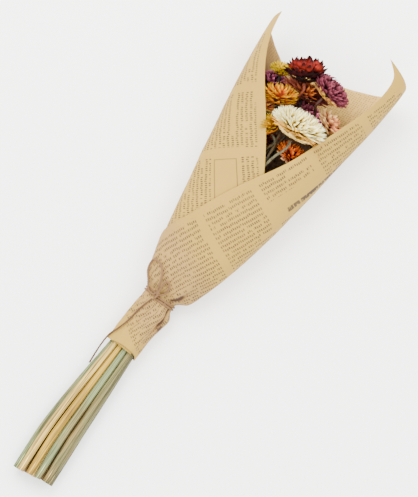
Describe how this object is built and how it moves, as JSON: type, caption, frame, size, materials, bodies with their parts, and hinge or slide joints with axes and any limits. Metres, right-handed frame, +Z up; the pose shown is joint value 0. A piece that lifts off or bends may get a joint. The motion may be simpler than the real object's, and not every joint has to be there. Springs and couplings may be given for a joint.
{
  "type": "dried chrysanthemum bouquet",
  "caption": "Dried chrysanthemum bouquet: layered papery blooms on straw stems, rolled in a kraft newsprint cone tied with jute twine, lying on its back.",
  "frame": {"origin": "on the surface the bouquet lies on, under the middle of its bounding box", "axes": "+X from the cut stem ends towards the blooms, +Z up out of the surface, +Y to the left seen from the stems"},
  "size_m": [0.4401, 0.1208, 0.0762],
  "materials": {
    "kraft_newsprint": "matte",
    "jute_twine": "matte",
    "petals_red": "matte",
    "straw_red": "matte",
    "petals_purple": "matte",
    "straw_purple": "matte",
    "petals_maroon": "matte",
    "straw_maroon": "matte",
    "petals_lemon": "matte",
    "straw_lemon": "matte",
    "petals_plum": "matte",
    "straw_plum": "matte",
    "petals_amber": "matte",
    "straw_amber": "matte",
    "petals_salmon": "matte",
    "straw_salmon": "matte",
    "petals_magenta": "matte",
    "straw_magenta": "matte",
    "petals_white": "matte",
    "straw_white": "matte",
    "petals_yellow": "matte",
    "straw_yellow": "matte",
    "petals_pink": "matte",
    "straw_pink": "matte",
    "petals_orange": "matte",
    "straw_orange": "matte",
    "petals_brick": "matte",
    "straw_brick": "matte"
  },
  "bodies": {
    "root": {"paper_wrap": "kraft_newsprint", "twine_tie": "jute_twine", "twine_tail": "jute_twine", "bloom_red": "petals_red", "stem_red": "straw_red", "bloom_purple": "petals_purple", "stem_purple": "straw_purple", "bloom_maroon": "petals_maroon", "stem_maroon": "straw_maroon", "bloom_lemon": "petals_lemon", "stem_lemon": "straw_lemon", "bloom_plum": "petals_plum", "stem_plum": "straw_plum", "bloom_amber": "petals_amber", "stem_amber": "straw_amber", "bloom_salmon": "petals_salmon", "stem_salmon": "straw_salmon", "bloom_magenta": "petals_magenta", "stem_magenta": "straw_magenta", "bloom_white": "petals_white", "stem_white": "straw_white", "bloom_yellow": "petals_yellow", "stem_yellow": "straw_yellow", "bloom_pink": "petals_pink", "stem_pink": "straw_pink", "bloom_orange": "petals_orange", "stem_orange": "straw_orange", "bloom_brick": "petals_brick", "stem_brick": "straw_brick"}
  },
  "joints": []
}
